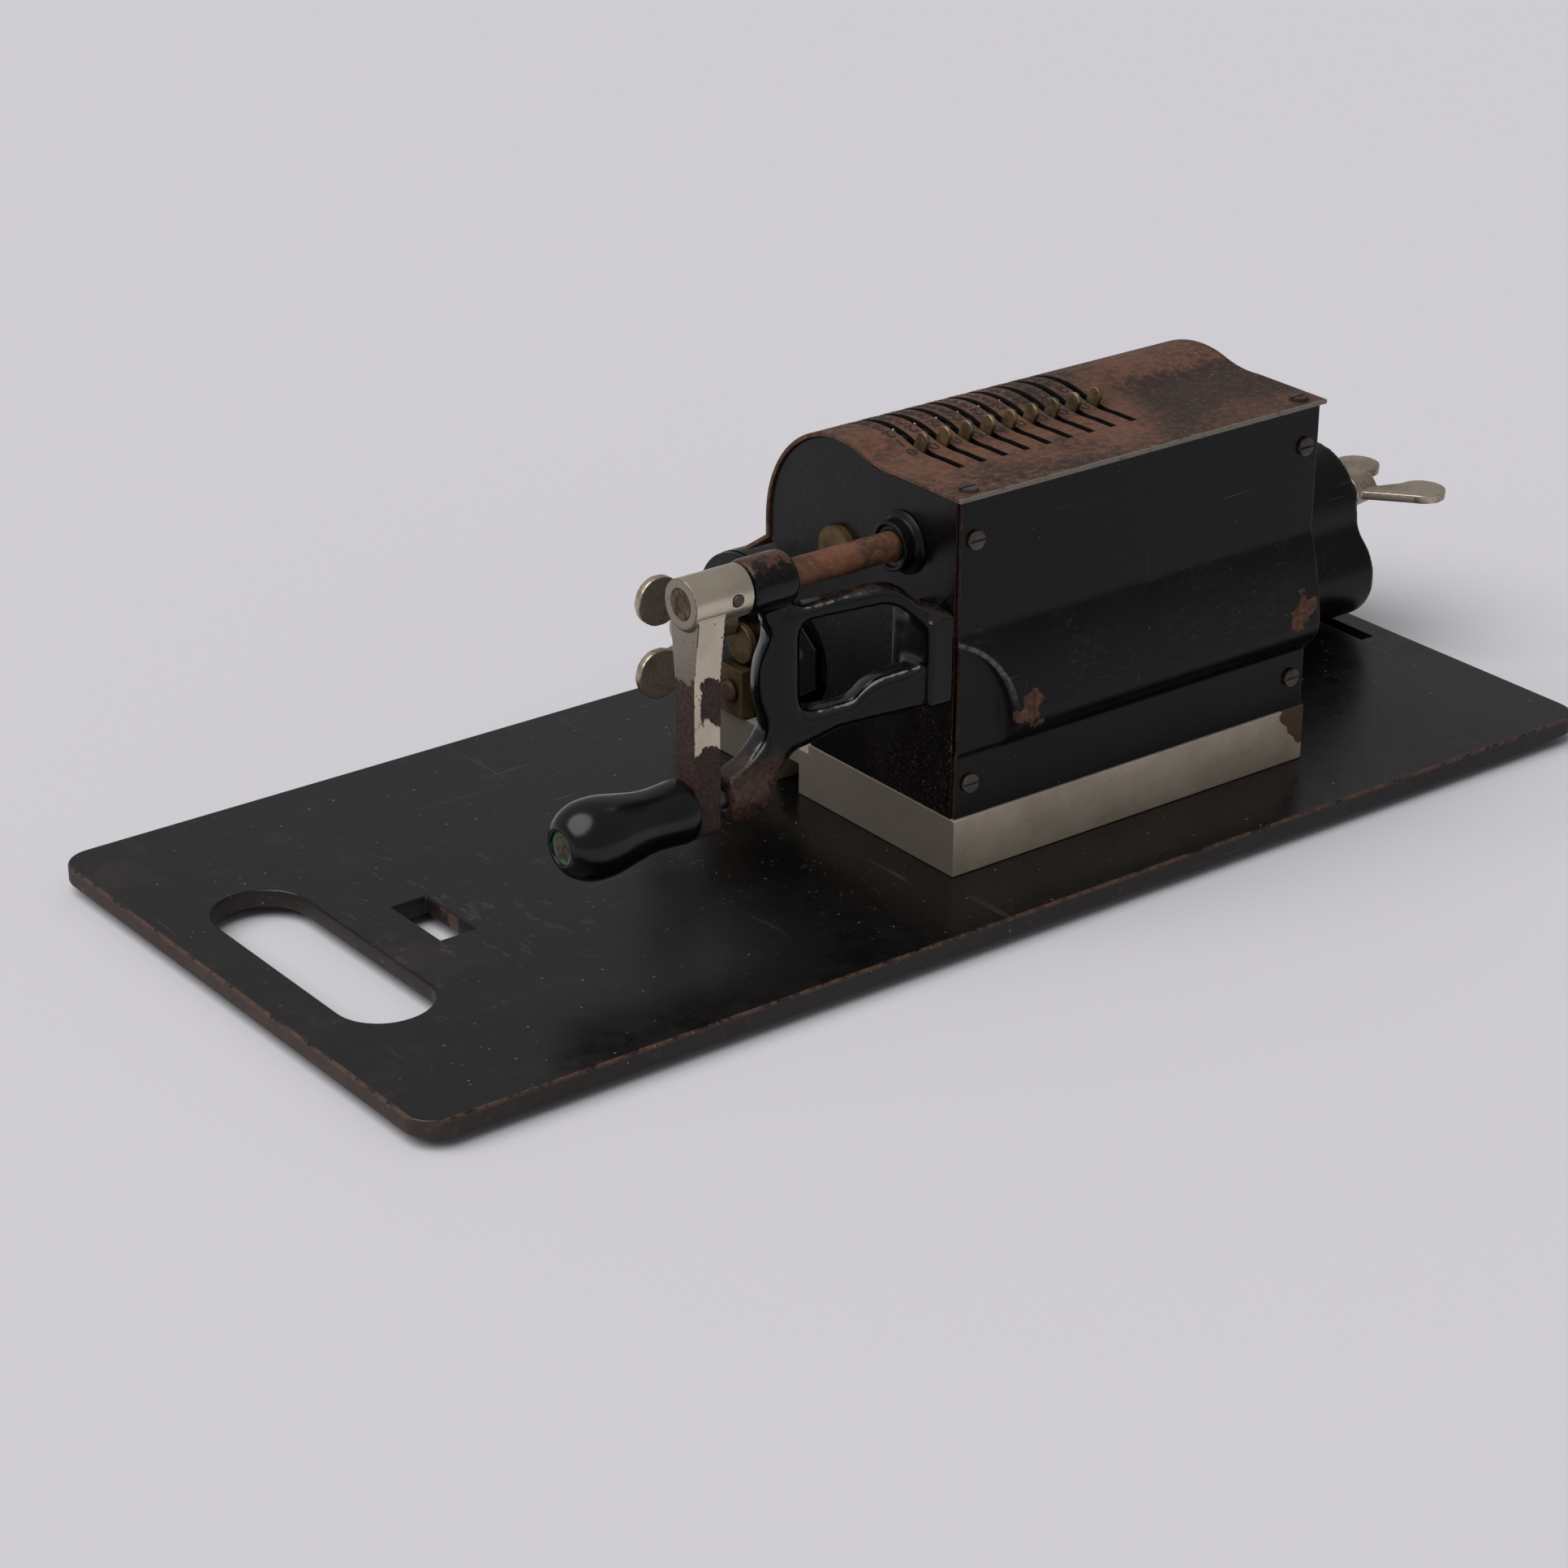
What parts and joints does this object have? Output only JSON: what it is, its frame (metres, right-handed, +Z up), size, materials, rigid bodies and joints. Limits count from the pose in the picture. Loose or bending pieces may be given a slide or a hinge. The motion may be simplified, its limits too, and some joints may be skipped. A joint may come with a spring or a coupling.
{
  "type": "pinwheel calculating machine",
  "caption": "Crank-driven pinwheel calculating machine with setting levers, a sliding register carriage and wing-nut clearing shafts, on a flat carrying board with a hand slot.",
  "frame": {"origin": "on the floor under the middle of the whole object's box", "axes": "+X to the operator's right, the crank side; +Y away from the operator, towards the back cover; +Z up"},
  "size_m": [0.5278, 0.226, 0.1504],
  "materials": {
    "board_paint": "satin black paint, chipped to rust along the edges",
    "rubber": "matt",
    "nickel_base": "dull nickel plate on cast iron",
    "steel": "oiled, darkened",
    "black_enamel": "gloss black lacquer with worn edges",
    "black_casting": "gloss black lacquer over a casting",
    "rusted_cover": "rust-brown, lacquer mostly gone",
    "rusted_shaft": "rust-orange",
    "worn_nickel": "nickel plate worn through in patches",
    "brass": "aged",
    "figure_white": "pale enamel figure wheels",
    "black_wood": "gloss black lacquered wood"
  },
  "bodies": {
    "machine": {"carrying_board": "board_paint", "board_feet": "rubber", "hold_down_bolts": "steel", "base_frame": "nickel_base", "carriage_rail": "steel", "side_plate_right": "black_enamel", "side_plate_left": "black_enamel", "stay_rods": "steel", "rear_post_right": "steel", "rear_post_left": "steel", "back_cover": "black_enamel", "back_cover_screws": "steel", "top_cover_screws": "steel", "top_cover": "rusted_cover", "drum_bush_right": "brass", "drum_bush_left": "brass", "crank_bearing": "black_enamel", "crank_bracket": "black_casting", "bracket_screws": "steel"},
    "crank": {"crank_arm": "worn_nickel", "crank_shaft": "rusted_shaft", "crank_cross_pin": "steel", "crank_gear": "steel"},
    "handle": {"handle_spindle": "steel", "handle_end_disc": "brass"},
    "grip": {"handle_grip": "black_wood"},
    "drum": {"drum_shaft": "steel", "drum_gear": "steel", "pinwheels": "steel", "setting_pins": "steel", "carry_discs": "steel", "counting_finger": "steel"},
    "carriage": {"carriage_bed": "black_enamel", "carriage_end_plate": "black_enamel", "carriage_mid_plate": "steel", "carriage_housing": "black_enamel", "result_cover": "black_enamel", "counter_cover": "black_enamel", "idler_axle": "steel", "stop_block": "brass", "stop_rivet": "brass", "end_collar": "brass"},
    "result_clearing": {"wing_nut_right": "worn_nickel", "result_shaft": "steel"},
    "counter_clearing": {"wing_nut_left": "worn_nickel", "counter_shaft": "steel"},
    "result_register": {"result_wheels": "figure_white"},
    "idlers": {"idler_gears": "brass"},
    "counter_register": {"counter_wheels": "figure_white"},
    "lever_1": {"setting_lever_1": "steel"},
    "lever_2": {"setting_lever_2": "steel"},
    "lever_3": {"setting_lever_3": "steel"},
    "lever_4": {"setting_lever_4": "steel"},
    "lever_5": {"setting_lever_5": "steel"},
    "lever_6": {"setting_lever_6": "steel"},
    "lever_7": {"setting_lever_7": "steel"},
    "lever_8": {"setting_lever_8": "steel"},
    "lever_9": {"setting_lever_9": "steel"}
  },
  "joints": [
    {"name": "crank_turn", "type": "hinge", "parent": "machine", "child": "crank", "pos_m": [0.0539, 0.05107, 0.121], "axis": [1, 0, 0], "continuous": true},
    {"name": "handle_pull", "type": "slide", "parent": "crank", "child": "handle", "axis": [1, 0, 0], "range_m": [0, 0.009], "stiffness_N_per_m": 300},
    {"name": "grip_spin", "type": "hinge", "parent": "handle", "child": "grip", "pos_m": [0.1439, 0.05107, 0.0503], "axis": [1, 0, 0], "continuous": true},
    {"name": "drum_turn", "type": "hinge", "parent": "machine", "child": "drum", "pos_m": [-0.0461, 0.0175, 0.108], "axis": [1, 0, 0], "continuous": true},
    {"name": "lever_1_set", "type": "hinge", "parent": "drum", "child": "lever_1", "pos_m": [0.0154, 0.0175, 0.108], "axis": [1, 0, 0], "range_deg": [0, 76.5]},
    {"name": "lever_2_set", "type": "hinge", "parent": "drum", "child": "lever_2", "pos_m": [0.006, 0.0175, 0.108], "axis": [1, 0, 0], "range_deg": [0, 76.5]},
    {"name": "lever_3_set", "type": "hinge", "parent": "drum", "child": "lever_3", "pos_m": [-0.0034, 0.0175, 0.108], "axis": [1, 0, 0], "range_deg": [0, 76.5]},
    {"name": "lever_4_set", "type": "hinge", "parent": "drum", "child": "lever_4", "pos_m": [-0.0128, 0.0175, 0.108], "axis": [1, 0, 0], "range_deg": [0, 76.5]},
    {"name": "lever_5_set", "type": "hinge", "parent": "drum", "child": "lever_5", "pos_m": [-0.0222, 0.0175, 0.108], "axis": [1, 0, 0], "range_deg": [0, 76.5]},
    {"name": "lever_6_set", "type": "hinge", "parent": "drum", "child": "lever_6", "pos_m": [-0.0316, 0.0175, 0.108], "axis": [1, 0, 0], "range_deg": [0, 76.5]},
    {"name": "lever_7_set", "type": "hinge", "parent": "drum", "child": "lever_7", "pos_m": [-0.041, 0.0175, 0.108], "axis": [1, 0, 0], "range_deg": [0, 76.5]},
    {"name": "lever_8_set", "type": "hinge", "parent": "drum", "child": "lever_8", "pos_m": [-0.0504, 0.0175, 0.108], "axis": [1, 0, 0], "range_deg": [0, 76.5]},
    {"name": "lever_9_set", "type": "hinge", "parent": "drum", "child": "lever_9", "pos_m": [-0.0598, 0.0175, 0.108], "axis": [1, 0, 0], "range_deg": [0, 76.5]},
    {"name": "carriage_shift", "type": "slide", "parent": "machine", "child": "carriage", "axis": [1, 0, 0], "range_m": [0, 0.0658]},
    {"name": "result_register_turn", "type": "hinge", "parent": "carriage", "child": "result_register", "pos_m": [-0.0361, -0.0452, 0.063], "axis": [1, 0, 0], "continuous": true},
    {"name": "idlers_turn", "type": "hinge", "parent": "carriage", "child": "idlers", "pos_m": [-0.0361, -0.0091, 0.0604], "axis": [1, 0, 0], "continuous": true},
    {"name": "counter_register_turn", "type": "hinge", "parent": "carriage", "child": "counter_register", "pos_m": [-0.1461, -0.0091, 0.0604], "axis": [1, 0, 0], "continuous": true},
    {"name": "result_clearing_turn", "type": "hinge", "parent": "carriage", "child": "result_clearing", "pos_m": [0.0439, -0.0452, 0.063], "axis": [1, 0, 0], "continuous": true},
    {"name": "counter_clearing_turn", "type": "hinge", "parent": "carriage", "child": "counter_clearing", "pos_m": [-0.2261, -0.0091, 0.0604], "axis": [1, 0, 0], "continuous": true}
  ],
  "couplings": [
    {"joint": "drum_turn", "follows": "crank_turn", "ratio": -1},
    {"joint": "idlers_turn", "follows": "result_register_turn", "ratio": -1}
  ]
}
